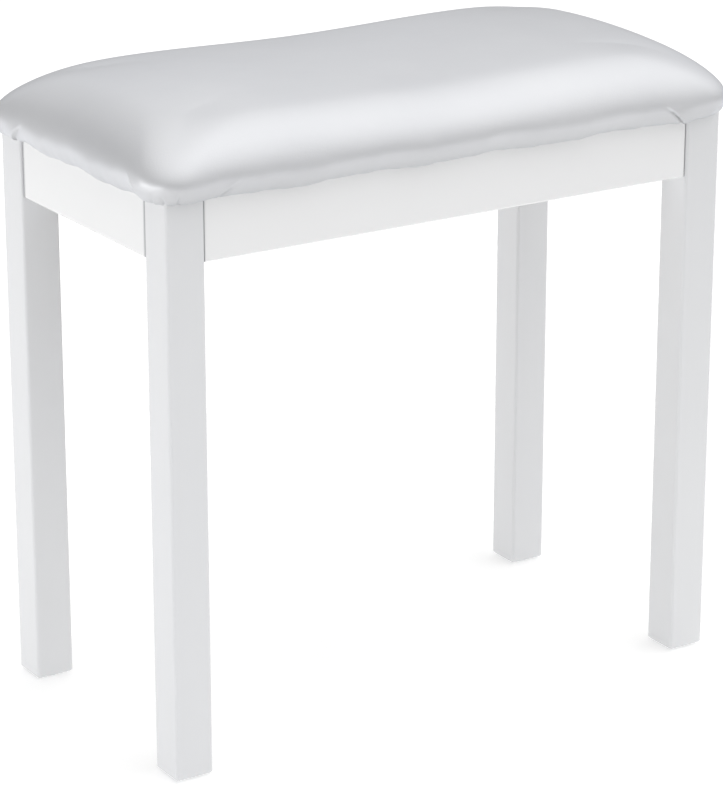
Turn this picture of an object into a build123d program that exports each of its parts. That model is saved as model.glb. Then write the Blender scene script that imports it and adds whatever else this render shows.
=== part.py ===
from build123d import *
import math
import os

# Piano bench with an upholstered saddle seat, in millimetres.
# +X runs along the bench, +Y to its back and +Z up. The origin is on the floor, under the middle of the seat.

# Frame
FRAME_LENGTH = 482.0
FRAME_WIDTH = 250.0
FRAME_TOP = 438.0
LEG_SIZE = 31.0
LEG_EDGE_RADIUS = 2.5
LEG_FOOT_BEVEL = 1.5
LEG_CORNER_CUT = 10.0
APRON_HEIGHT = 47.0
APRON_THICKNESS = 18.0
APRON_SETBACK = 1.5
APRON_EDGE_RADIUS = 2.0

# Seat
SEAT_LENGTH = 506.0
SEAT_WIDTH = 274.0
SEAT_CREST = 492.0
SEAT_CORNER_RADIUS = 30.0
SEAT_RIM_RADIUS = 20.0
SEAT_HEM_RADIUS = 7.0
SADDLE_DIP = 3.0
SADDLE_HALF_LENGTH = 150.0
CROWN_FALL = 7.0
END_FALL = 4.0
CORNER_FALL = 14.0
FORM_PITCH_X = 24.0
FORM_PITCH_Y = 28.0
FORM_HALF_COUNT_X = 12
FORM_HALF_COUNT_Y = 6
COVER_THICKNESS = 1.2
HEM_WIDTH = 50.0
BOARD_THICKNESS = 12.0
BOARD_INSET = 9.0
BOARD_CORNER_RADIUS = 22.0
DUST_COVER_THICKNESS = 0.6
DUST_COVER_INSET = 41.0
DUST_COVER_CORNER_RADIUS = 10.0

# Cleats that hold the seat to the aprons
CLEAT_SIZE = 18.0
CLEAT_GAP = 1.5
LONG_CLEAT = 290.0
SHORT_CLEAT = 74.0
CLEAT_EDGE = 1.0
CLEAT_SCREW_SHARE = 0.35

# Corner brackets and the bolts that pull each leg into its corner
BRACKET_THICKNESS = 2.0
BRACKET_HEIGHT = 34.0
BRACKET_REACH = 36.0
BRACKET_WING = 30.0
BRACKET_CORNER_RADIUS = 4.0
BRACKET_SCREW_RISE = 9.0
BRACKET_SCREW_REACH = 18.0
BOLT_RADIUS = 4.0
BOLT_HOLE_RADIUS = 4.3
BOLT_BITE = 23.0
BOLT_BEYOND_NUT = 5.0
BOLT_END_CHAMFER = 0.8
BOLT_POINT_LENGTH = 6.0
BOLT_POINT_DEPTH = 2.4
WASHER_RADIUS = 8.0
WASHER_THICKNESS = 1.6
NUT_RADIUS = 7.0
NUT_HEIGHT = 8.0
NUT_WING_SPAN = 13.0
NUT_WING_RADIUS = 5.5
NUT_WING_THICKNESS = 3.0
NUT_WING_LIFT = 1.0
NUT_WEB_LIFT = -0.6
NUT_WEB_HEIGHT = 8.8

# Screws, staples and glides
SCREW_RADIUS = 2.0
SCREW_HEAD_RADIUS = 4.0
SCREW_HEAD_HEIGHT = 2.4
SCREW_HEAD_ROUNDING = 1.4
RECESS_LENGTH = 4.4
RECESS_WIDTH = 0.9
RECESS_DEPTH = 1.4
SCREW_TIP_RADIUS = 0.4
BRACKET_SCREW_LENGTH = 16.0
CLEAT_SCREW_LENGTH = 30.0
SEAT_SCREW_LENGTH = 30.0
SEAT_SCREW_X = 60.0
STAPLE_WIDTH = 10.0
STAPLE_WIRE = 0.8
STAPLE_DEPTH = 7.0
HEM_STAPLE_INSET = 38.0
DUST_STAPLE_INSET = 45.0
STAPLE_PITCH_X = 30.0
STAPLE_PITCH_Y = 42.0
STAPLES_X = 14
STAPLES_Y = 4
GLIDE_RADIUS = 11.0
GLIDE_THICKNESS = 2.0
GLIDE_BEVEL = 0.5
NAIL_RADIUS = 1.25
NAIL_HEAD_RADIUS = 3.0
NAIL_HEAD_HEIGHT = 0.8
NAIL_HEAD_LIFT = 0.5
NAIL_LENGTH = 15.0

# Places worked out from the driving dimensions
CORNER_X = FRAME_LENGTH / 2
CORNER_Y = FRAME_WIDTH / 2
INNER_X = CORNER_X - APRON_SETBACK - APRON_THICKNESS
INNER_Y = CORNER_Y - APRON_SETBACK - APRON_THICKNESS
APRON_MIDDLE = FRAME_TOP - APRON_HEIGHT / 2
HEM_TOP = FRAME_TOP + COVER_THICKNESS
CLEAT_TOP = FRAME_TOP - CLEAT_GAP
CLEAT_MIDDLE = CLEAT_TOP - CLEAT_SIZE / 2
CUT_FACE = (2 * (LEG_SIZE - APRON_SETBACK - APRON_THICKNESS) - LEG_CORNER_CUT) / math.sqrt(2)
BRACKET_FACE = BRACKET_REACH / math.sqrt(2) + BRACKET_THICKNESS
SIDES = {"left": -1, "right": 1}
ENDS = {"front": -1, "rear": 1}
CORNERS = {f"{e}_{s}": (SIDES[s], ENDS[e]) for e in ENDS for s in SIDES}


def in_corner(shape, side, end):
    """The shape made for the rear right corner, carried to another corner by symmetry."""
    if side < 0:
        shape = mirror(shape, about=Plane.YZ)
    if end < 0:
        shape = mirror(shape, about=Plane.XZ)
    return shape


def in_all_corners(shape):
    return [in_corner(shape, side, end) for side, end in CORNERS.values()]


def group(shapes):
    """Separate solids that share one node."""
    return Compound(children=[solid for shape in shapes for solid in shape.solids()])


# ---------------------------------------------------------------- fasteners


def cross_recess():
    slot = Box(RECESS_LENGTH, RECESS_WIDTH, RECESS_DEPTH, align=(Align.CENTER, Align.CENTER, Align.MAX))
    return slot + Rot(0, 0, 90) * slot


def shank(radius, length):
    """A screw's shank down from the origin, with a pointed end."""
    point = 2 * radius
    straight = Pos(0, 0, -(length - point) / 2) * Cylinder(radius, length - point)
    tip = Cone(SCREW_TIP_RADIUS, radius, point, align=(Align.CENTER, Align.CENTER, Align.MAX))
    return straight + Pos(0, 0, point - length) * tip


def pan_screw(length):
    """A pan head screw along -Z, its head standing on the origin plane."""
    head = Cylinder(SCREW_HEAD_RADIUS, SCREW_HEAD_HEIGHT, align=(Align.CENTER, Align.CENTER, Align.MIN))
    head = fillet(head.edges().sort_by(Axis.Z)[-1], SCREW_HEAD_ROUNDING)
    recess = Pos(0, 0, SCREW_HEAD_HEIGHT) * cross_recess()
    return head + shank(SCREW_RADIUS, length) - recess


def flat_screw(length):
    """A countersunk screw along -Z, its head flush with the origin plane."""
    head = Cone(
        SCREW_RADIUS, SCREW_HEAD_RADIUS, SCREW_HEAD_HEIGHT, align=(Align.CENTER, Align.CENTER, Align.MAX)
    )
    return head + shank(SCREW_RADIUS, length)


def staple():
    """A staple that is driven up from the origin plane, its crown along X below that plane."""
    crown = Box(
        STAPLE_WIDTH, STAPLE_WIRE, STAPLE_WIRE, align=(Align.CENTER, Align.CENTER, Align.MAX)
    )
    leg = Box(STAPLE_WIRE, STAPLE_WIRE, STAPLE_DEPTH, align=(Align.CENTER, Align.CENTER, Align.MIN))
    reach = (STAPLE_WIDTH - STAPLE_WIRE) / 2
    return crown + Pos(-reach, 0, 0) * leg + Pos(reach, 0, 0) * leg


def staple_row(inset, height):
    """Staples along a rectangle at this inset from the seat's outline."""
    row_x = SEAT_LENGTH / 2 - inset
    row_y = SEAT_WIDTH / 2 - inset
    long_rows = GridLocations(STAPLE_PITCH_X, 2 * row_y, STAPLES_X, 2)
    short_rows = GridLocations(2 * row_x, STAPLE_PITCH_Y, 2, STAPLES_Y)
    turned = Rot(0, 0, 90) * staple()
    rows = [Pos(0, 0, height) * place * staple() for place in long_rows]
    rows += [Pos(0, 0, height) * place * turned for place in short_rows]
    return group(rows)


def corner_axis(distance):
    """A plane across the corner's diagonal, this far from the aprons' inner corner towards the middle."""
    step = distance / math.sqrt(2)
    return Plane((INNER_X - step, INNER_Y - step, APRON_MIDDLE), x_dir=(0, 0, 1), z_dir=(-1, -1, 0))


def hanger_bolt():
    start = CUT_FACE - BOLT_BITE
    length = BRACKET_FACE + WASHER_THICKNESS + NUT_HEIGHT + BOLT_BEYOND_NUT - start
    bolt = Cylinder(BOLT_RADIUS, length, align=(Align.CENTER, Align.CENTER, Align.MIN))
    bolt = chamfer(bolt.edges().sort_by(Axis.Z)[-1], BOLT_END_CHAMFER)
    bolt = chamfer(bolt.edges().sort_by(Axis.Z)[0], BOLT_POINT_LENGTH, BOLT_POINT_DEPTH)
    return corner_axis(start) * bolt


def bolt_washer():
    ring = Cylinder(WASHER_RADIUS, WASHER_THICKNESS, align=(Align.CENTER, Align.CENTER, Align.MIN))
    hole = Cylinder(BOLT_HOLE_RADIUS, 3 * WASHER_THICKNESS)
    return corner_axis(BRACKET_FACE) * (ring - hole)


def wing_nut():
    body = Cone(NUT_RADIUS, 0.85 * NUT_RADIUS, NUT_HEIGHT, align=(Align.CENTER, Align.CENTER, Align.MIN))
    lobe = Rot(90, 0, 0) * Cylinder(NUT_WING_RADIUS, NUT_WING_THICKNESS)
    web = Box(NUT_WING_SPAN - NUT_RADIUS / 2, NUT_WING_THICKNESS, NUT_WEB_HEIGHT)
    wing = Pos(NUT_WING_SPAN, 0, NUT_HEIGHT + NUT_WING_LIFT) * lobe
    wing += Pos((NUT_WING_SPAN + NUT_RADIUS / 2) / 2, 0, NUT_HEIGHT + NUT_WEB_LIFT) * web
    nut = body + wing + mirror(wing, about=Plane.YZ)
    return corner_axis(BRACKET_FACE + WASHER_THICKNESS) * (nut - Cylinder(BOLT_RADIUS, 4 * NUT_HEIGHT))


def bracket_screws():
    """Two screws through each wing of one corner's bracket."""
    along = BRACKET_REACH + BRACKET_SCREW_REACH
    screws = []
    for height in (APRON_MIDDLE - BRACKET_SCREW_RISE, APRON_MIDDLE + BRACKET_SCREW_RISE):
        into_end = Plane((INNER_X - BRACKET_THICKNESS, INNER_Y - along, height), z_dir=(-1, 0, 0))
        into_side = Plane((INNER_X - along, INNER_Y - BRACKET_THICKNESS, height), z_dir=(0, -1, 0))
        screws += [plane * pan_screw(BRACKET_SCREW_LENGTH) for plane in (into_end, into_side)]
    return screws


def cleat_screws():
    """Countersunk screws through the cleats into the aprons."""
    face_x = INNER_X - CLEAT_SIZE
    face_y = INNER_Y - CLEAT_SIZE
    screws = []
    for side, end in CORNERS.values():
        on_long = (side * CLEAT_SCREW_SHARE * LONG_CLEAT, end * face_y, CLEAT_MIDDLE)
        on_short = (side * face_x, end * CLEAT_SCREW_SHARE * SHORT_CLEAT, CLEAT_MIDDLE)
        screws.append(Plane(on_long, z_dir=(0, -end, 0)) * flat_screw(CLEAT_SCREW_LENGTH))
        screws.append(Plane(on_short, z_dir=(-side, 0, 0)) * flat_screw(CLEAT_SCREW_LENGTH))
    return group(screws)


def seat_screws():
    """Pan head screws up through the cleats into the seat board."""
    screw = Rot(180, 0, 0) * pan_screw(SEAT_SCREW_LENGTH)
    bottom = CLEAT_TOP - CLEAT_SIZE
    line_x = INNER_X - CLEAT_SIZE / 2
    line_y = INNER_Y - CLEAT_SIZE / 2
    places = [(side * SEAT_SCREW_X, end * line_y) for side, end in CORNERS.values()]
    places += [(side * line_x, 0) for side in SIDES.values()]
    return group([Pos(x, y, bottom) * screw for x, y in places])


# ---------------------------------------------------------------- wooden frame


def leg():
    height = FRAME_TOP - GLIDE_THICKNESS
    post = Box(LEG_SIZE, LEG_SIZE, height, align=(Align.MAX, Align.MAX, Align.MIN))
    post = fillet(post.edges().filter_by(Axis.Z), LEG_EDGE_RADIUS)
    post = chamfer(post.faces().sort_by(Axis.Z)[0].edges(), LEG_FOOT_BEVEL)
    post = Pos(CORNER_X, CORNER_Y, GLIDE_THICKNESS) * post
    cut = corner_axis(CUT_FACE) * Box(
        APRON_HEIGHT, LEG_SIZE * 2, LEG_SIZE, align=(Align.CENTER, Align.CENTER, Align.MIN)
    )
    return post - cut - hanger_bolt() - glide_nail()


def apron(length):
    """An apron along X with its outer face on the -Y side of the origin."""
    board = Box(length, APRON_THICKNESS, APRON_HEIGHT, align=(Align.CENTER, Align.MIN, Align.MAX))
    outer = board.faces().sort_by(Axis.Y)[0].edges()
    seen = outer.filter_by(Axis.Z) + [outer.sort_by(Axis.Z)[0]]
    return fillet(seen, APRON_EDGE_RADIUS)


def long_apron(end):
    board = Pos(0, APRON_SETBACK - CORNER_Y, FRAME_TOP) * apron(FRAME_LENGTH - 2 * LEG_SIZE)
    return board if end < 0 else Rot(0, 0, 180) * board


def short_apron(side):
    board = Pos(0, APRON_SETBACK - CORNER_X, FRAME_TOP) * apron(FRAME_WIDTH - 2 * LEG_SIZE)
    return Rot(0, 0, 90 if side > 0 else -90) * board


def cleat(length):
    bar = Box(length, CLEAT_SIZE, CLEAT_SIZE, align=(Align.CENTER, Align.MAX, Align.MAX))
    return chamfer(bar.edges().filter_by(Axis.X).sort_by(Axis.Y)[:2], CLEAT_EDGE)


def long_cleat(end):
    bar = Pos(0, INNER_Y, CLEAT_TOP) * cleat(LONG_CLEAT)
    return bar if end > 0 else Rot(0, 0, 180) * bar


def short_cleat(side):
    bar = Pos(0, INNER_X, CLEAT_TOP) * cleat(SHORT_CLEAT)
    return Rot(0, 0, -90 if side > 0 else 90) * bar


def corner_bracket():
    """A steel strip bent across the corner, its two wings flat on the aprons' inner faces."""
    far = BRACKET_REACH + BRACKET_WING
    bend = BRACKET_REACH + BRACKET_THICKNESS * (math.sqrt(2) - 1)
    against = [(0, far), (0, BRACKET_REACH), (BRACKET_REACH, 0), (far, 0)]
    inside = [(far, BRACKET_THICKNESS), (bend, BRACKET_THICKNESS)]
    inside += [(BRACKET_THICKNESS, bend), (BRACKET_THICKNESS, far)]
    corners = [(INNER_X - u, INNER_Y - v) for u, v in against + inside]
    strip = extrude(make_face(Polyline(*corners, close=True)), BRACKET_HEIGHT)
    strip = Pos(0, 0, APRON_MIDDLE - BRACKET_HEIGHT / 2) * strip
    ends = [e for e in strip.edges() if abs(e.length - BRACKET_THICKNESS) < 0.01 and e.center().Z > 0]
    strip = fillet(ends, BRACKET_CORNER_RADIUS)
    strip -= corner_axis(BRACKET_FACE) * Cylinder(BOLT_HOLE_RADIUS, 6 * BRACKET_THICKNESS)
    for screw in bracket_screws():
        strip -= screw
    return strip


def glide():
    disc = Cylinder(GLIDE_RADIUS, GLIDE_THICKNESS, align=(Align.CENTER, Align.CENTER, Align.MIN))
    disc = chamfer(disc.edges().sort_by(Axis.Z)[0], GLIDE_BEVEL)
    recess = Cylinder(NAIL_HEAD_RADIUS, NAIL_HEAD_LIFT, align=(Align.CENTER, Align.CENTER, Align.MIN))
    return Pos(CORNER_X - LEG_SIZE / 2, CORNER_Y - LEG_SIZE / 2, 0) * (disc - recess) - glide_nail()


def glide_nail():
    head = Cylinder(NAIL_HEAD_RADIUS, NAIL_HEAD_HEIGHT, align=(Align.CENTER, Align.CENTER, Align.MIN))
    nail = head + Rot(180, 0, 0) * shank(NAIL_RADIUS, NAIL_LENGTH)
    return Pos(CORNER_X - LEG_SIZE / 2, CORNER_Y - LEG_SIZE / 2, NAIL_HEAD_LIFT) * nail


# ---------------------------------------------------------------- seat


def seat_height(x, y):
    """Height of the seat's top: a saddle along the length, crowned across it and falling at the ends."""
    dip = SADDLE_DIP * (1 + math.cos(math.pi * min(1, abs(x) / SADDLE_HALF_LENGTH))) / 2
    along = max(0, (abs(x) - SADDLE_HALF_LENGTH) / (SEAT_LENGTH / 2 - SADDLE_HALF_LENGTH))
    across = y / (SEAT_WIDTH / 2)
    falls = CROWN_FALL * across**2 + END_FALL * along**2 + CORNER_FALL * (along * across) ** 2
    return SEAT_CREST - dip - falls


def flat_piece(inset, radius, bottom, thickness):
    """A flat piece with rounded corners, this far inside the seat's outline."""
    outline = RectangleRounded(SEAT_LENGTH - 2 * inset, SEAT_WIDTH - 2 * inset, radius)
    return Pos(0, 0, bottom) * extrude(outline, amount=thickness)


def seat_form(inset):
    """The closed cushion form, all its faces moved in by the inset."""
    height = SEAT_CREST - FRAME_TOP
    form = flat_piece(inset, SEAT_CORNER_RADIUS - inset, FRAME_TOP + inset, 2 * height)
    lines_x = [i * FORM_PITCH_X for i in range(-FORM_HALF_COUNT_X, FORM_HALF_COUNT_X + 1)]
    lines_y = [i * FORM_PITCH_Y for i in range(-FORM_HALF_COUNT_Y, FORM_HALF_COUNT_Y + 1)]
    grid = [[Vector(x, y, seat_height(x, y) - inset) for y in lines_y] for x in lines_x]
    top = Face.make_surface_from_array_of_points(grid)
    form -= Solid.extrude(top, Vector(0, 0, 3 * height))
    form = fillet(form.faces().sort_by(Axis.Z)[-1].edges(), SEAT_RIM_RADIUS - inset)
    return fillet(form.faces().sort_by(Axis.Z)[0].edges(), SEAT_HEM_RADIUS - inset)


def seat_pieces():
    """The seat's board, foam, cover, dust cover, staples and screws, each clear of the others."""
    hem_staples = staple_row(HEM_STAPLE_INSET, FRAME_TOP)
    dust_bottom = FRAME_TOP - DUST_COVER_THICKNESS
    dust_staples = staple_row(DUST_STAPLE_INSET, dust_bottom)
    screws = seat_screws()
    inner = seat_form(COVER_THICKNESS)
    board = flat_piece(BOARD_INSET, BOARD_CORNER_RADIUS, HEM_TOP, BOARD_THICKNESS)
    opening = flat_piece(HEM_WIDTH, SEAT_HEM_RADIUS, FRAME_TOP - 1, COVER_THICKNESS + 2)
    cover = seat_form(0) - inner - opening
    foam = inner - board
    dust_cover = flat_piece(
        DUST_COVER_INSET, DUST_COVER_CORNER_RADIUS, dust_bottom, DUST_COVER_THICKNESS
    )
    return {
        "seat_board": board - hem_staples - dust_staples - screws,
        "seat_foam": foam,
        "seat_cover": cover - hem_staples - dust_staples - screws,
        "dust_cover": dust_cover - dust_staples - screws,
        "hem_staples": hem_staples,
        "dust_cover_staples": dust_staples,
        "seat_screws": screws,
    }


# ---------------------------------------------------------------- the whole bench


def bench():
    pieces = {}
    corner = {
        "leg": leg(),
        "corner_bracket": corner_bracket(),
        "hanger_bolt": hanger_bolt(),
        "bolt_washer": bolt_washer(),
        "wing_nut": wing_nut(),
        "foot_glide": glide(),
    }
    for place, (side, end) in CORNERS.items():
        for name, shape in corner.items():
            pieces[f"{name}_{place}"] = in_corner(shape, side, end)
    bracket_group = group([s for screw in bracket_screws() for s in in_all_corners(screw)])
    cleat_group = cleat_screws()
    seat = seat_pieces()
    for name, end in ENDS.items():
        pieces[f"apron_{name}"] = long_apron(end) - bracket_group - cleat_group
        pieces[f"cleat_{name}"] = long_cleat(end) - cleat_group - seat["seat_screws"]
    for name, side in SIDES.items():
        pieces[f"apron_{name}"] = short_apron(side) - bracket_group - cleat_group
        pieces[f"cleat_{name}"] = short_cleat(side) - cleat_group - seat["seat_screws"]
    pieces["bracket_screws"] = bracket_group
    pieces["cleat_screws"] = cleat_group
    pieces["glide_nails"] = group(in_all_corners(glide_nail()))
    return pieces | seat


os.makedirs("parts", exist_ok=True)
for node, shape in bench().items():
    export_step(shape, f"parts/{node}.step")
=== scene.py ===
import math

import bpy
import numpy as np
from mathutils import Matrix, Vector


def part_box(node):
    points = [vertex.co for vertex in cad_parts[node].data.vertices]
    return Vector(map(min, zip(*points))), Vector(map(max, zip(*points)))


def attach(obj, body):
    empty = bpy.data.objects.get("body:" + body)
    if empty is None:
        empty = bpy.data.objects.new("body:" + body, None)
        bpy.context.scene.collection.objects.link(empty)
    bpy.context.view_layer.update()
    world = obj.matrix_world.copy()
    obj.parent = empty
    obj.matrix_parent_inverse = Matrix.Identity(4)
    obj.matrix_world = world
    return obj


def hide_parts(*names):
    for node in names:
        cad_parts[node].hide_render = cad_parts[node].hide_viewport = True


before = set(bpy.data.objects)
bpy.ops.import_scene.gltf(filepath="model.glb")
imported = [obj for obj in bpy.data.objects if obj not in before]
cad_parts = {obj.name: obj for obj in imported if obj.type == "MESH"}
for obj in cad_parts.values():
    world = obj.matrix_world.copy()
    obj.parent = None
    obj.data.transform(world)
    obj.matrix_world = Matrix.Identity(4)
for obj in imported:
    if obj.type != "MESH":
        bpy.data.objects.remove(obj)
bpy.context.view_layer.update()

# ---------------------------------------------------------------- sizes, in metres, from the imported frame

COVER_LOW, COVER_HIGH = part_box("seat_cover")
BOARD_LOW, BOARD_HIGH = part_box("seat_board")
HALF_LENGTH = COVER_HIGH.x
HALF_WIDTH = COVER_HIGH.y
FRAME_TOP = COVER_LOW.z
FORM_CREST = COVER_HIGH.z - 0.0008
BOARD_INSET = HALF_LENGTH - BOARD_HIGH.x

CORNER_RADIUS = 0.030
LEAST_CORNER_RADIUS = 0.004
HALF_ARC = CORNER_RADIUS * math.pi / 4
COVER_THICKNESS = 0.0012
FOAM_GAP = 0.0026
FOAM_TO_BOARD_EDGE = 0.0006
FOAM_TO_BOARD_TOP = 0.0004
HEM_INSET = 0.049

# The seat's form: a roll from the widest line up to the top, a saddle along it and a crown across it.
WIDEST_Z = FRAME_TOP + 0.0125
ROLL_WIDTH = 0.045
CORNER_GROWTH = 0.45
TUCK_WIDTH = 0.0080
SADDLE_DIP = 0.0029
SADDLE_HALF_LENGTH = 0.150
CROWN_FALL = 0.0090
END_FALL = 0.0066
CORNER_FALL = 0.0022

GRID_X = 76
GRID_Y = 40
GRID_CROWDING = 0.3
ROLL_STEPS = 11
TUCK_STEPS = 6
HEM_STEPS = 4

# The inflated cover: how far it may leave its form, and how it is smoothed and held.
PUFF_CAP = 0.0016
PUFF_SMOOTHING = 120
HELD_HEIGHT = 0.0015
CLOTH_FRAMES = 20

# The folds that the gathered fabric makes at each corner, keyed by the corner's signs in X and Y.
# A fold is (place round the corner from its middle, lean per unit of height, top height, depth, step),
# with places towards the end of the bench negative and towards its long side positive.
FOLDS = {
    (-1, -1): [
        (-0.026, -1.0, 0.017, 0.0026, 0.0016), (-0.012, 0.4, 0.009, 0.0012, 0.0006),
        (0.000, -0.2, 0.008, 0.0010, 0.0), (0.010, 0.3, 0.010, 0.0012, -0.0005),
        (0.044, 1.3, 0.013, 0.0010, -0.0009),
    ],
    (1, -1): [
        (-0.036, -1.0, 0.017, 0.0020, 0.0018), (-0.010, -0.3, 0.010, 0.0012, 0.0),
        (0.004, 0.2, 0.009, 0.0011, 0.0005), (0.046, 1.4, 0.017, 0.0020, -0.0018),
    ],
    (-1, 1): [
        (-0.042, -1.2, 0.017, 0.0015, 0.0016), (-0.007, -0.2, 0.009, 0.0011, 0.0),
        (0.008, 0.3, 0.010, 0.0012, 0.0005), (0.039, 1.5, 0.018, 0.0021, -0.0020),
    ],
    (1, 1): [
        (-0.047, -1.3, 0.018, 0.0022, 0.0020), (-0.012, 0.2, 0.010, 0.0011, 0.0006),
        (0.003, -0.3, 0.009, 0.0010, 0.0), (0.035, 1.0, 0.014, 0.0013, -0.0012),
    ],
}
FOLD_WIDTH = 0.0013
FOLD_LAP = 0.010
FOLD_FADE = 0.35

# Hem ripples: (size, waves per metre along X, along Y, phase). They fade out over the heights and over the
# insets below, as the fabric is pulled tight above the hem and stapled flat under the board.
RIPPLES = [
    (0.00050, 9.0, 12.0, 0.4), (0.00022, 21.0, 25.0, 2.1),
    (0.00012, 43.0, 38.0, 4.0), (0.00006, 76.0, 83.0, 1.2),
]
RIPPLE_HEIGHTS = (0.004, 0.022)
STAPLED_INSETS = (0.009, 0.012)
UNDERSIDE_HEIGHT = 0.020
HEM_SAG = 0.0007
HEM_SAG_HEIGHTS = (0.001, 0.012)
SAG_PER_RIPPLE = 0.9

# The dust cover under the seat. It sags towards its middle and puckers between its staples.
DUST_CORNER_RADIUS = 0.010
DUST_GRID = (2 * GRID_X, 2 * GRID_Y)
DUST_THICKNESS = 0.0004
DUST_GAP = 0.0002
DUST_SAG = 0.0022
DUST_SAG_REACH = 0.060
DUST_PUCKER = 0.0005
DUST_PUCKER_REACH = 0.010
DUST_RIPPLE_REACH = 0.030
STAPLE_INSET = 0.004
STAPLE_PITCH = (0.030, 0.042)

# The frame's lacquer, as its darkest and lightest tones, and the painted shade, with some dirt, in each of
# its joints.
# One white lacquer painted at three brightnesses: the aprons lighter as painted light, the legs darker as
# painted shade.
LEG_SHADED_TONES = (0.735, 0.742, 0.758), (0.765, 0.771, 0.782)
LONG_APRON_LIT_TONES = (0.875, 0.877, 0.882), (0.90, 0.901, 0.904)
SHORT_APRON_LIT_TONES = (0.845, 0.848, 0.852), (0.87, 0.872, 0.875)
WOOD_TONES = (0.62, 0.46, 0.28), (0.80, 0.66, 0.46)
# Painted shade, with some dirt, darkens each apron's ends where they meet the legs, over a wider band on
# the end aprons.
JOINT_SHADE_WIDTH = 0.0016
SHORT_JOINT_SHADE_WIDTH = 0.006
JOINT_SHADE_COLOR = (0.42, 0.42, 0.44)
WHITE = (1, 1, 1)

# Painted shade: the cover's colour is darker where it turns in under the seat.
TUCK_SHADE_COLOR = (0.84, 0.84, 0.835)
TUCK_SHADE_HEIGHT = 0.001

PLY_COUNT = 7
PLY_BAND = 0.002

# The studio round the bench glows evenly, and more towards one direction overhead.
SKY_BASE = 0.245
SKY_TOP = 1.68
SKY_AXIS = (0.32, -0.14, 0.94)
SEEN_WHITE = 1.1
FLOOR_SIZE = 4.2
FLOOR_GLOW = 0.42

# The camera: its lens in millimetres, and its turn from straight ahead and from level in degrees.
CAMERA_LENS = 149.7
CAMERA_PLACE = (-1.3075, -2.0500, 1.0562)
CAMERA_YAW = 32.49
CAMERA_PITCH = 19.08


# ---------------------------------------------------------------- the seat's form


def smooth_step(low, high, value):
    """From 0 at low to 1 at high, level at both ends."""
    t = np.clip((value - low) / (high - low), 0, 1)
    return t * t * (3 - 2 * t)


def seat_height(x, y):
    """The height of the seat's top over a plan point."""
    near = np.minimum(1.0, np.abs(x) / SADDLE_HALF_LENGTH)
    dip = SADDLE_DIP * (1 + np.cos(np.pi * near)) / 2
    along = np.clip((np.abs(x) - SADDLE_HALF_LENGTH) / (HALF_LENGTH - SADDLE_HALF_LENGTH), 0, None)
    across = y / HALF_WIDTH
    falls = CROWN_FALL * across**2 + END_FALL * along**2 + CORNER_FALL * (along * across) ** 2
    return FORM_CREST - dip - falls


def rounded(u, v, inset, radius, share=1.0):
    """Plan points for points (u, v) of a square's edge, on a rounded outline this far inside the seat's.

    The share draws the outline in towards its middle.
    """
    a, b = (HALF_LENGTH - inset) * share, (HALF_WIDTH - inset) * share
    radius = radius * share
    x, y = u * a, v * b
    core_x, core_y = np.clip(x, radius - a, a - radius), np.clip(y, radius - b, b - radius)
    dx, dy = x - core_x, y - core_y
    length = np.hypot(dx, dy)
    scale = np.where(length > 1e-9, radius / np.maximum(length, 1e-9), 0.0)
    return core_x + dx * scale, core_y + dy * scale


def rolled(u, v, inset, share=1.0):
    """Plan points on the top or the roll, where an outline's corners are rounder the further in it is."""
    return rounded(u, v, inset, CORNER_RADIUS + CORNER_GROWTH * inset, share)


def spread(count):
    """Grid places from -1 to 1, closer together towards the ends."""
    t = np.linspace(-1, 1, count + 1)
    return t * (1 + GRID_CROWDING - GRID_CROWDING * t * t)


def grid_rim():
    """Indices of the top grid's rim, in order round it."""
    def index(i, j):
        return i * (GRID_Y + 1) + j
    rim = [index(i, 0) for i in range(GRID_X)]
    rim += [index(GRID_X, j) for j in range(GRID_Y)]
    rim += [index(i, GRID_Y) for i in range(GRID_X, 0, -1)]
    rim += [index(0, j) for j in range(GRID_Y, 0, -1)]
    return rim


def grid_faces(first, turned=False):
    """The quads of a grid whose first vertex has this index."""
    faces = []
    for i in range(GRID_X):
        for j in range(GRID_Y):
            a = first + i * (GRID_Y + 1) + j
            face = (a, a + GRID_Y + 1, a + GRID_Y + 2, a + 1)
            faces.append(face[::-1] if turned else face)
    return faces


def band_faces(upper, lower):
    """The quads between two rings of as many vertices."""
    size = len(upper)
    return [(upper[k], lower[k], lower[(k + 1) % size], upper[(k + 1) % size]) for k in range(size)]


def mesh_object(name, points, faces):
    mesh = bpy.data.meshes.new(name)
    mesh.from_pydata(points.tolist(), [], [tuple(map(int, face)) for face in faces])
    obj = bpy.data.objects.new(name, mesh)
    bpy.context.scene.collection.objects.link(obj)
    return obj


def shell_object(name, rings, floor_height=None):
    """A mesh from the top grid down through the rings, closed by a flat grid if floor_height is given."""
    u, v = np.meshgrid(spread(GRID_X), spread(GRID_Y), indexing="ij")
    u, v = u.ravel(), v.ravel()
    share = np.maximum(np.maximum(np.abs(u), np.abs(v)), 1e-6)
    x, y = rolled(u / share, v / share, ROLL_WIDTH, share)
    points = [np.stack([x, y, seat_height(x, y)], 1)]
    rim = np.array(grid_rim())
    faces = grid_faces(0)
    last, count, size = rim, len(u), len(rim)
    for ring in rings:
        points.append(ring(u[rim], v[rim]))
        new = np.arange(count, count + size)
        faces += band_faces(last, new)
        last, count = new, count + size
    if floor_height is not None:
        plan = np.abs(points[-1][:, :2]).max(0)
        points.append(np.stack([u * plan[0], v * plan[1], np.full_like(u, floor_height)], 1))
        faces += band_faces(last, count + rim)
        faces += grid_faces(count, turned=True)
    return mesh_object(name, np.concatenate(points), faces)


def roll_ring(share):
    """A ring on the roll, from the top at share 0 to the widest line at share 1."""
    angle = share * math.pi / 2
    inset = ROLL_WIDTH * (1 - math.sin(angle))

    def ring(u, v):
        x, y = rolled(u, v, inset)
        return np.stack([x, y, WIDEST_Z + (seat_height(x, y) - WIDEST_Z) * math.cos(angle)], 1)
    return ring


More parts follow.
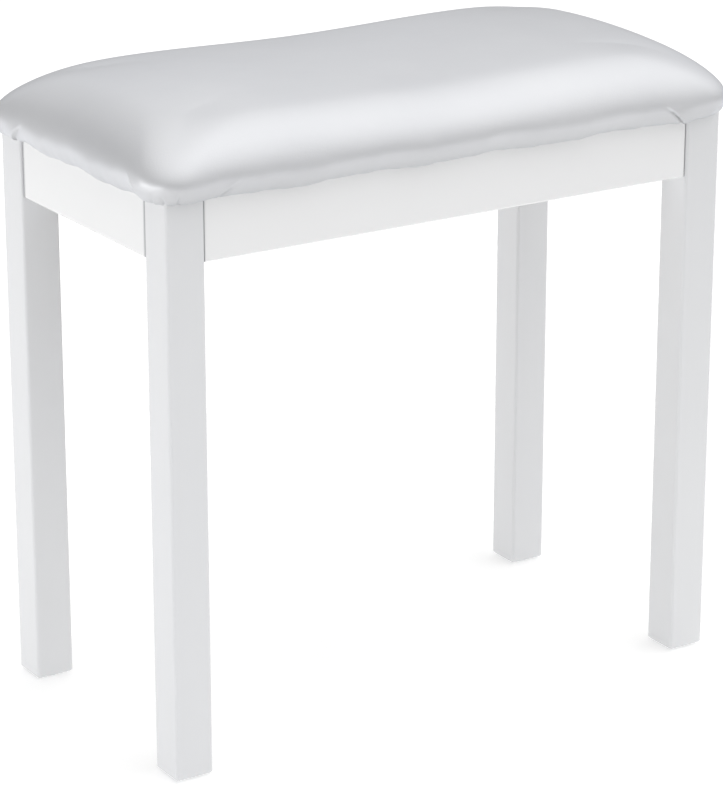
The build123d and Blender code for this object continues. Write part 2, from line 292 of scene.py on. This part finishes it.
def flat_ring(inset, height):
    """A level ring this far inside the seat's outline."""
    def ring(u, v):
        x, y = rounded(u, v, inset, max(CORNER_RADIUS - inset, LEAST_CORNER_RADIUS))
        return np.stack([x, y, np.full_like(x, height)], 1)
    return ring


def tuck_rings():
    """From the widest line down and in to the hem's fold."""
    rings = []
    for k in range(1, TUCK_STEPS + 1):
        angle = k / TUCK_STEPS * math.pi / 2
        inset = TUCK_WIDTH * (1 - math.cos(angle))
        rings.append(flat_ring(inset, WIDEST_Z - (WIDEST_Z - FRAME_TOP) * math.sin(angle)))
    return rings


# ---------------------------------------------------------------- mesh tools


def coordinates(mesh):
    flat = np.zeros(len(mesh.vertices) * 3)
    mesh.vertices.foreach_get("co", flat)
    return flat.reshape(-1, 3)


def set_coordinates(mesh, points):
    mesh.vertices.foreach_set("co", points.ravel())
    mesh.update()


def normals(mesh):
    flat = np.zeros(len(mesh.vertices) * 3)
    mesh.vertex_normals.foreach_get("vector", flat)
    return flat.reshape(-1, 3)


def smoothed(mesh, values, rounds):
    """Values on the vertices, averaged with their neighbours' this many times."""
    pairs = np.zeros(len(mesh.edges) * 2, int)
    mesh.edges.foreach_get("vertices", pairs)
    a, b = pairs.reshape(-1, 2).T
    degree = np.bincount(pairs, minlength=len(values))[:, None]
    for _ in range(rounds):
        total = np.zeros_like(values)
        np.add.at(total, a, values[b])
        np.add.at(total, b, values[a])
        values = (values + total / degree) / 2
    return values


def apply_modifiers(obj):
    """The object's mesh becomes what its modifiers make of it."""
    graph = bpy.context.evaluated_depsgraph_get()
    mesh = bpy.data.meshes.new_from_object(obj.evaluated_get(graph))
    obj.modifiers.clear()
    obj.data = mesh


def subdivide(obj, levels):
    finer = obj.modifiers.new("finer", "SUBSURF")
    finer.levels = finer.render_levels = levels
    apply_modifiers(obj)


def smooth_shade(obj):
    obj.data.polygons.foreach_set("use_smooth", [True] * len(obj.data.polygons))


# ---------------------------------------------------------------- the cover


def inflate(cover):
    """Cloth with pressure from inside, held along the hem, and kept near the form."""
    before = coordinates(cover.data)
    held = cover.vertex_groups.new(name="held")
    pinned = np.nonzero(before[:, 2] < FRAME_TOP + HELD_HEIGHT)[0]
    held.add([int(i) for i in pinned], 1.0, "ADD")
    cloth = cover.modifiers.new("cloth", "CLOTH")
    settings = cloth.settings
    settings.quality = 6
    settings.mass = 0.3
    settings.tension_stiffness = settings.compression_stiffness = 30
    settings.shear_stiffness = 12
    settings.bending_stiffness = 2
    settings.use_pressure = True
    settings.uniform_pressure_force = 4
    settings.vertex_group_mass = "held"
    settings.effector_weights.gravity = 0
    cloth.collision_settings.use_collision = False
    for number in range(1, CLOTH_FRAMES + 1):
        bpy.context.scene.frame_set(number)
    apply_modifiers(cover)
    bpy.context.scene.frame_set(1)
    moved = coordinates(cover.data) - before
    far = np.linalg.norm(moved, axis=1, keepdims=True)
    moved *= PUFF_CAP * np.tanh(far / PUFF_CAP) / np.maximum(far, 1e-9)
    moved = smoothed(cover.data, moved, PUFF_SMOOTHING)
    moved[pinned] = 0
    set_coordinates(cover.data, before + moved)
    cover.vertex_groups.clear()


def outline_inset(points):
    """How far inside the seat's outline each point is, in plan."""
    dx = np.abs(points[:, 0]) - (HALF_LENGTH - CORNER_RADIUS)
    dy = np.abs(points[:, 1]) - (HALF_WIDTH - CORNER_RADIUS)
    outside = np.hypot(np.maximum(dx, 0), np.maximum(dy, 0))
    return CORNER_RADIUS - np.where((dx > 0) & (dy > 0), outside, np.maximum(dx, dy))


def round_corner(points):
    """The way round the outline from the middle of the nearest corner, negative towards the bench's end."""
    dx = np.abs(points[:, 0]) - (HALF_LENGTH - CORNER_RADIUS)
    dy = np.abs(points[:, 1]) - (HALF_WIDTH - CORNER_RADIUS)
    arc = (np.arctan2(np.maximum(dy, 0), np.maximum(dx, 1e-9)) - math.pi / 4) * CORNER_RADIUS
    place = np.where(dy < 0, dy - HALF_ARC, np.where(dx < 0, HALF_ARC - dx, arc))
    return np.where((dx < 0) & (dy < 0), np.where(dx > dy, dy - HALF_ARC, HALF_ARC - dx), place)


def gather(cover):
    """Ripples along the hem and folds at the corners, where the flat fabric is drawn in under the board."""
    points, outward = coordinates(cover.data), normals(cover.data)
    rise = points[:, 2] - FRAME_TOP
    inset = outline_inset(points)
    free = 1 - smooth_step(*STAPLED_INSETS, inset)
    low = (1 - smooth_step(*RIPPLE_HEIGHTS, rise)) * np.where(rise < UNDERSIDE_HEIGHT, free, 1)
    x, y = points[:, 0], points[:, 1]
    wave = sum(size * np.sin(2 * math.pi * (kx * x + ky * y) + phase) for size, kx, ky, phase in RIPPLES)
    move = outward * (wave * low)[:, None]
    sag = (1 - smooth_step(*HEM_SAG_HEIGHTS, rise)) * free
    move[:, 2] -= (HEM_SAG + SAG_PER_RIPPLE * wave) * sag
    place = round_corner(points)
    for (side, end), folds in FOLDS.items():
        here = (np.sign(x) == side) & (np.sign(y) == end)
        for start, lean, top, depth, step in folds:
            across = place - (start + lean * rise)
            fade = (1 - smooth_step(FOLD_FADE * top, top, rise)) * free * here
            groove = -depth * np.exp(-((across / FOLD_WIDTH) ** 2))
            past = across * np.sign(step)
            lap = np.exp(-np.maximum(past, 0) / FOLD_LAP)
            lift = abs(step) * smooth_step(-FOLD_WIDTH, FOLD_WIDTH, past) * lap
            move += outward * ((groove + lift) * fade)[:, None]
    set_coordinates(cover.data, points + move)


def make_seat(cover_material, foam_material):
    """The cover is inflated over its form, and the foam fills the form that results."""
    rings = [roll_ring(k / ROLL_STEPS) for k in range(1, ROLL_STEPS + 1)] + tuck_rings()
    for k in range(1, HEM_STEPS + 1):
        rings.append(flat_ring(TUCK_WIDTH + (HEM_INSET - TUCK_WIDTH) * k / HEM_STEPS, FRAME_TOP))
    cover = shell_object("seat_cover_upholstery", rings)
    inflate(cover)
    make_foam(foam_material, cover.data)
    subdivide(cover, 2)
    gather(cover)
    skin = cover.modifiers.new("skin", "SOLIDIFY")
    skin.thickness = COVER_THICKNESS
    skin.offset = -1
    apply_modifiers(cover)
    smooth_shade(cover)
    cover.data.materials.append(cover_material)
    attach(cover, "root")
    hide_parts("seat_cover")


def make_foam(material, form):
    """The foam inside the cover's form, with a rebate for the board."""
    edge, top = BOARD_INSET - FOAM_TO_BOARD_EDGE, BOARD_HIGH.z + FOAM_TO_BOARD_TOP
    rings = [roll_ring(k / ROLL_STEPS) for k in range(1, ROLL_STEPS + 1)] + tuck_rings()
    rings += [flat_ring(edge, FRAME_TOP + FOAM_GAP), flat_ring(edge, top), flat_ring(ROLL_WIDTH, top)]
    foam = shell_object("seat_foam_block", rings, top)
    shared = (GRID_X + 1) * (GRID_Y + 1) + 2 * (GRID_X + GRID_Y) * (ROLL_STEPS + TUCK_STEPS)
    points = coordinates(foam.data)
    points[:shared] = (coordinates(form) - normals(form) * FOAM_GAP)[:shared]
    set_coordinates(foam.data, points)
    subdivide(foam, 1)
    smooth_shade(foam)
    foam.data.materials.append(material)
    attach(foam, "root")
    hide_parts("seat_foam")


def make_dust_cover(material):
    """The black sheet under the seat, drawn up at its staples."""
    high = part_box("dust_cover")[1]
    row_x, row_y = high.x - STAPLE_INSET, high.y - STAPLE_INSET
    columns, rows = DUST_GRID[0], DUST_GRID[1] + 1
    u, v = np.meshgrid(np.linspace(-1, 1, columns + 1), np.linspace(-1, 1, rows), indexing="ij")
    u, v = u.ravel(), v.ravel()
    share = np.maximum(np.maximum(np.abs(u), np.abs(v)), 1e-6)
    x, y = rounded(u / share, v / share, HALF_LENGTH - high.x, DUST_CORNER_RADIUS, share)
    inside = np.minimum(row_x - np.abs(x), row_y - np.abs(y))
    slack_x = (1 + np.cos(2 * math.pi * x / STAPLE_PITCH[0])) / 2
    slack_y = (1 + np.cos(2 * math.pi * y / STAPLE_PITCH[1])) / 2
    near_x = np.exp(-(((np.abs(y) - row_y) / DUST_PUCKER_REACH) ** 2))
    near_y = np.exp(-(((np.abs(x) - row_x) / DUST_PUCKER_REACH) ** 2))
    z = high.z - DUST_GAP - DUST_SAG * smooth_step(0, DUST_SAG_REACH, inside)
    z -= DUST_PUCKER * np.maximum(slack_x * near_x, slack_y * near_y)
    ripple = 1 + np.sin(31 * x + 1.3) * np.sin(47 * y + 24 * x)
    z -= DUST_PUCKER / 2 * smooth_step(0, DUST_RIPPLE_REACH, inside) * ripple
    starts = [a for i in range(columns) for a in range(i * rows, i * rows + rows - 1)]
    faces = [(a, a + 1, a + rows + 1, a + rows) for a in starts]
    sheet = mesh_object("dust_cover_sheet", np.stack([x, y, z], 1), faces)
    skin = sheet.modifiers.new("skin", "SOLIDIFY")
    skin.thickness = DUST_THICKNESS
    skin.offset = 1
    apply_modifiers(sheet)
    smooth_shade(sheet)
    sheet.data.materials.append(material)
    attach(sheet, "root")
    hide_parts("dust_cover")


# ---------------------------------------------------------------- materials


class Look:
    """A material with one Principled shader, and short names for the nodes that feed it."""

    def __init__(self, name):
        self.material = bpy.data.materials.new(name)
        self.material.use_nodes = True
        self.nodes = self.material.node_tree.nodes
        self.links = self.material.node_tree.links
        self.nodes.clear()
        out = self.nodes.new("ShaderNodeOutputMaterial")
        self.shader = self.nodes.new("ShaderNodeBsdfPrincipled")
        self.links.new(self.shader.outputs["BSDF"], out.inputs["Surface"])
        self.place = self.nodes.new("ShaderNodeTexCoord").outputs["Object"]
        self.bumped = None

    def set(self, **values):
        """Plain values on the shader's own sockets, named with underscores for spaces."""
        for key, value in values.items():
            self.shader.inputs[key.replace("_", " ")].default_value = value

    def stretched(self, scale):
        """The place in metres, scaled along each axis."""
        mapping = self.nodes.new("ShaderNodeMapping")
        mapping.inputs["Scale"].default_value = scale
        self.links.new(self.place, mapping.inputs["Vector"])
        return mapping.outputs["Vector"]

    def noise(self, scale, detail=3.0, roughness=0.5, stretch=(1, 1, 1)):
        node = self.nodes.new("ShaderNodeTexNoise")
        self.links.new(self.stretched(stretch), node.inputs["Vector"])
        node.inputs["Scale"].default_value = scale
        node.inputs["Detail"].default_value = detail
        node.inputs["Roughness"].default_value = roughness
        return node.outputs["Fac"]

    def cells(self, scale, feature="F1", output="Distance"):
        node = self.nodes.new("ShaderNodeTexVoronoi")
        node.feature = feature
        self.links.new(self.place, node.inputs["Vector"])
        node.inputs["Scale"].default_value = scale
        return node.outputs[output]

    def ramp(self, value, stops):
        """Colours at places from 0 to 1, from (place, colour) pairs."""
        node = self.nodes.new("ShaderNodeValToRGB")
        self.links.new(value, node.inputs["Fac"])
        elements = node.color_ramp.elements
        while len(elements) < len(stops):
            elements.new(0.5)
        for element, (place, color) in zip(elements, stops):
            element.position = place
            element.color = (*color, 1)
        return node.outputs["Color"]

    def along(self, axis):
        """The place along one axis, in metres."""
        node = self.nodes.new("ShaderNodeSeparateXYZ")
        self.links.new(self.place, node.inputs[0])
        return node.outputs[axis]

    def between(self, value, low, high, first=0.0, last=1.0):
        """The value's first to last carried to low to high."""
        node = self.nodes.new("ShaderNodeMapRange")
        self.links.new(value, node.inputs["Value"])
        node.inputs["From Min"].default_value = first
        node.inputs["From Max"].default_value = last
        node.inputs["To Min"].default_value = low
        node.inputs["To Max"].default_value = high
        return node.outputs["Result"]

    def math(self, operation, value, *numbers):
        node = self.nodes.new("ShaderNodeMath")
        node.operation = operation
        self.links.new(value, node.inputs[0])
        for socket, number in zip(node.inputs[1:], numbers):
            socket.default_value = number
        return node.outputs[0]

    def multiply(self, color, other):
        mix = self.nodes.new("ShaderNodeMix")
        mix.data_type = "RGBA"
        mix.blend_type = "MULTIPLY"
        sockets = {socket.identifier: socket for socket in [*mix.inputs, *mix.outputs]}
        sockets["Factor_Float"].default_value = 1.0
        self.links.new(color, sockets["A_Color"])
        self.links.new(other, sockets["B_Color"])
        return sockets["Result_Color"]

    def feed(self, socket, value):
        self.links.new(value, self.shader.inputs[socket])

    def bump(self, height, distance, strength=1.0):
        """A relief of this depth in metres, on top of the reliefs before it."""
        node = self.nodes.new("ShaderNodeBump")
        node.inputs["Distance"].default_value = distance
        node.inputs["Strength"].default_value = strength
        self.links.new(height, node.inputs["Height"])
        if self.bumped is not None:
            self.links.new(self.bumped, node.inputs["Normal"])
        self.bumped = node.outputs["Normal"]
        self.links.new(self.bumped, self.shader.inputs["Normal"])


def grain_stretch(axis, along):
    """A texture stretch that draws noise out along one axis."""
    return tuple(along if i == axis else 1.0 for i in range(3))


def lacquer(name, axis, tones, end=None, line=JOINT_SHADE_WIDTH):
    """Gloss white lacquer over wood, with the grain just telegraphing through along one axis.

    If the piece's end along that axis is given, a band of painted shade, with some dirt, this wide darkens
    its joint.
    """
    dark, light = tones
    look = Look(name)
    tone = look.noise(5, 3, 0.55, grain_stretch(axis, 0.35))
    color = look.ramp(tone, [(0.32, dark), (0.68, light)])
    # Painted shade, with some dirt, in the joint at the piece's end.
    if end is not None:
        distance = look.math("ABSOLUTE", look.along(axis))
        inside = look.between(distance, 1, 0, end - line, end)
        color = look.multiply(color, look.ramp(inside, [(0.3, JOINT_SHADE_COLOR), (0.7, WHITE)]))
    look.feed("Base Color", color)
    look.feed("Roughness", look.between(look.noise(38, 3), 0.20, 0.27))
    look.set(Coat_Weight=0.3, Coat_Roughness=0.10, Specular_IOR_Level=0.45)
    look.bump(look.noise(260, 3, 0.6, grain_stretch(axis, 0.03)), 0.00005)
    look.bump(look.noise(130, 1), 0.00005, 0.6)
    return look.material


def pearl():
    """Pearl silver-white coated fabric with a fine pressed grain."""
    look = Look("pearl_coated_fabric")
    tone = look.noise(11, 3)
    color = look.ramp(tone, [(0.3, (0.668, 0.674, 0.692)), (0.7, (0.704, 0.709, 0.724))])
    # Painted shade darkens the cover from the widest line down to the hem.
    height = look.between(look.along(2), 0, 1, FRAME_TOP + TUCK_SHADE_HEIGHT, WIDEST_Z)
    color = look.multiply(color, look.ramp(height, [(0, TUCK_SHADE_COLOR), (1, WHITE)]))
    look.feed("Base Color", color)
    look.feed("Roughness", look.between(look.noise(190, 3), 0.33, 0.41))
    look.set(Metallic=0.30, Specular_IOR_Level=0.5, Specular_Tint=(0.86, 0.90, 1.0, 1.0))
    look.set(Coat_Weight=0.2, Coat_Roughness=0.3)
    look.bump(look.cells(900, "SMOOTH_F1"), 0.00012, 0.5)
    look.bump(look.noise(2200, 2), 0.00004, 0.5)
    return look.material


def foam_look():
    """Pale yellow open-celled foam."""
    look = Look("upholstery_foam")
    tone = look.noise(30, 4)
    look.feed("Base Color", look.ramp(tone, [(0.3, (0.80, 0.71, 0.47)), (0.7, (0.88, 0.81, 0.60))]))
    look.set(Roughness=0.92)
    look.bump(look.cells(700, "SMOOTH_F1"), 0.0006)
    return look.material


def wood(name, axis, tones):
    """Bare wood with its grain along one axis."""
    look = Look(name)
    dark, light = tones
    dull = tuple(0.9 * part for part in light)
    grain = look.noise(160, 6, 0.62, grain_stretch(axis, 0.07))
    look.feed("Base Color", look.ramp(grain, [(0.28, dark), (0.52, light), (0.75, dull)]))
    look.feed("Roughness", look.between(grain, 0.55, 0.75))
    look.bump(grain, 0.00025)
    return look.material


def plywood():
    """Plywood: long grain on its faces, and the plies as bands on its edge."""
    look = Look("plywood")
    grain = look.noise(90, 6, 0.6, grain_stretch(0, 0.06))
    face = look.ramp(grain, [(0.3, (0.56, 0.40, 0.23)), (0.7, (0.74, 0.58, 0.38))])
    layer = look.math("PINGPONG", look.along(2), (BOARD_HIGH.z - BOARD_LOW.z) / PLY_COUNT)
    bands = look.ramp(look.between(layer, 0, 1, 0, PLY_BAND), [(0.3, (0.62, 0.58, 0.54)), (0.6, WHITE)])
    look.feed("Base Color", look.multiply(face, bands))
    look.set(Roughness=0.7)
    look.bump(grain, 0.0002)
    return look.material


def nonwoven():
    """Black non-woven sheet: pressed dots over loose fibres."""
    look = Look("nonwoven_sheet")
    fibre = look.noise(700, 5, 0.7)
    color = look.ramp(fibre, [(0.3, (0.012, 0.012, 0.014)), (0.75, (0.055, 0.055, 0.06))])
    look.feed("Base Color", color)
    look.set(Roughness=0.85, Sheen_Weight=0.2)
    look.bump(look.cells(420), 0.0004)
    look.bump(fibre, 0.0002)
    return look.material


def bracket_steel():
    """Zinc-plated sheet steel with a faint spangle."""
    look = Look("zinc_sheet_steel")
    gray = look.nodes.new("ShaderNodeRGBToBW")
    look.links.new(look.cells(130, output="Color"), gray.inputs[0])
    spangle = gray.outputs[0]
    look.feed("Base Color", look.ramp(spangle, [(0.1, (0.52, 0.53, 0.55)), (0.9, (0.68, 0.69, 0.71))]))
    look.feed("Roughness", look.between(spangle, 0.28, 0.42))
    look.set(Metallic=1.0)
    look.bump(look.noise(900, 4), 0.00004)
    return look.material


def fastener_steel():
    """Bright zinc with fine handling marks."""
    look = Look("bright_zinc")
    tone = look.noise(300, 4)
    look.feed("Base Color", look.ramp(tone, [(0.3, (0.66, 0.66, 0.65)), (0.7, (0.80, 0.80, 0.81))]))
    look.feed("Roughness", look.between(look.noise(1500, 4, 0.6), 0.18, 0.38))
    look.set(Metallic=1.0)
    look.bump(look.noise(2500, 3), 0.00003)
    return look.material


def nylon():
    """Milky moulded nylon."""
    look = Look("glide_nylon")
    tone = look.noise(200, 3)
    look.feed("Base Color", look.ramp(tone, [(0.3, (0.66, 0.67, 0.68)), (0.7, (0.74, 0.75, 0.76))]))
    look.feed("Roughness", look.between(look.noise(800, 4), 0.4, 0.6))
    look.bump(look.noise(1200, 4), 0.00008)
    return look.material


def dress_frame(black):
    """Every CAD node that stays gets its own finish."""
    steel, sheet, plastic = fastener_steel(), bracket_steel(), nylon()
    # Lit and shaded copies of one white lacquer: painted shade on the legs, painted light on the aprons.
    legs = lacquer("white_lacquer_legs", 2, LEG_SHADED_TONES)
    long_end, short_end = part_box("apron_front")[1].x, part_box("apron_left")[1].y
    long_apron = lacquer("white_lacquer_long", 0, LONG_APRON_LIT_TONES, long_end)
    short_apron = lacquer("white_lacquer_short", 1, SHORT_APRON_LIT_TONES, short_end, SHORT_JOINT_SHADE_WIDTH)
    long_cleat, short_cleat = wood("bare_wood_x", 0, WOOD_TONES), wood("bare_wood_y", 1, WOOD_TONES)
    rules = [
        ("leg_", legs),
        ("apron_front", long_apron), ("apron_rear", long_apron), ("apron_", short_apron),
        ("cleat_screws", steel),
        ("cleat_front", long_cleat), ("cleat_rear", long_cleat), ("cleat_", short_cleat),
        ("corner_bracket", sheet),
        ("seat_board", plywood()),
        ("dust_cover_staples", steel), ("dust_cover", black),
        ("foot_glide", plastic),
    ]
    for node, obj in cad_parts.items():
        material = next((m for start, m in rules if node.startswith(start)), steel)
        obj.data.materials.clear()
        obj.data.materials.append(material)


# ---------------------------------------------------------------- studio and camera


def softbox(name, place, aim, size, power):
    """A rectangular light that faces a point."""
    data = bpy.data.lights.new(name, "AREA")
    data.shape = "RECTANGLE"
    data.size, data.size_y = size
    data.energy = power
    light = bpy.data.objects.new(name, data)
    light.location = place
    light.rotation_euler = (Vector(aim) - Vector(place)).to_track_quat("-Z", "Y").to_euler()
    bpy.context.scene.collection.objects.link(light)


def studio_world():
    """The lit surroundings, which the camera sees as plain white."""
    made = bpy.data.worlds.new("studio")
    bpy.context.scene.world = made
    made.use_nodes = True
    nodes, links = made.node_tree.nodes, made.node_tree.links
    nodes.clear()

    def math_node(operation, value, *numbers):
        node = nodes.new("ShaderNodeMath")
        node.operation = operation
        links.new(value, node.inputs[0])
        for socket, number in zip(node.inputs[1:], numbers):
            socket.default_value = number
        return node.outputs[0]

    out = nodes.new("ShaderNodeOutputWorld")
    mix = nodes.new("ShaderNodeMixShader")
    path = nodes.new("ShaderNodeLightPath")
    seen = nodes.new("ShaderNodeBackground")
    seen.inputs["Strength"].default_value = SEEN_WHITE
    seen.inputs["Color"].default_value = (1, 1, 1, 1)
    lit = nodes.new("ShaderNodeBackground")
    lit.inputs["Color"].default_value = (1, 1, 1, 1)
    coord = nodes.new("ShaderNodeTexCoord")
    towards = nodes.new("ShaderNodeVectorMath")
    towards.operation = "DOT_PRODUCT"
    towards.inputs[1].default_value = SKY_AXIS
    links.new(coord.outputs["Generated"], towards.inputs[0])
    facing = math_node("MAXIMUM", towards.outputs["Value"], 0.0)
    square = math_node("POWER", facing, 2.0)
    links.new(math_node("MULTIPLY_ADD", square, SKY_TOP, SKY_BASE), lit.inputs["Strength"])
    links.new(path.outputs["Is Camera Ray"], mix.inputs["Fac"])
    links.new(lit.outputs[0], mix.inputs[1])
    links.new(seen.outputs[0], mix.inputs[2])
    links.new(mix.outputs[0], out.inputs["Surface"])


def studio_floor():
    """A pale floor that glows a little, so that it stays white but for the shadows close to the feet."""
    bpy.ops.mesh.primitive_plane_add(size=FLOOR_SIZE)
    plane = bpy.context.object
    plane.name = "floor"
    look = Look("pale_floor")
    look.set(Roughness=0.9, Specular_IOR_Level=0.0, Base_Color=(0.72, 0.72, 0.72, 1))
    look.set(Emission_Color=(1, 1, 1, 1), Emission_Strength=FLOOR_GLOW)
    plane.data.materials.append(look.material)


def studio_camera():
    """A long lens from over the near left corner, as in the photo."""
    data = bpy.data.cameras.new("camera")
    data.lens = CAMERA_LENS
    data.clip_end = 100
    cam = bpy.data.objects.new("camera", data)
    cam.location = CAMERA_PLACE
    yaw, pitch = math.radians(CAMERA_YAW), math.radians(CAMERA_PITCH)
    cam.rotation_euler = (math.pi / 2 - pitch, 0, -yaw)
    bpy.context.scene.collection.objects.link(cam)
    bpy.context.scene.camera = cam


sheet_look = nonwoven()
dress_frame(sheet_look)
make_seat(pearl(), foam_look())
make_dust_cover(sheet_look)
studio_world()
studio_floor()
studio_camera()
softbox("left_softbox", place=(-2.2, 0.2, 0.27), aim=(0, 0, 0.2), size=(3.2, 0.5), power=15.0)
softbox("rear_softbox", place=(0.3, 2.0, 1.2), aim=(0, 0, 0.45), size=(2.0, 0.8), power=1.5)
bpy.context.scene.view_settings.view_transform = "Standard"
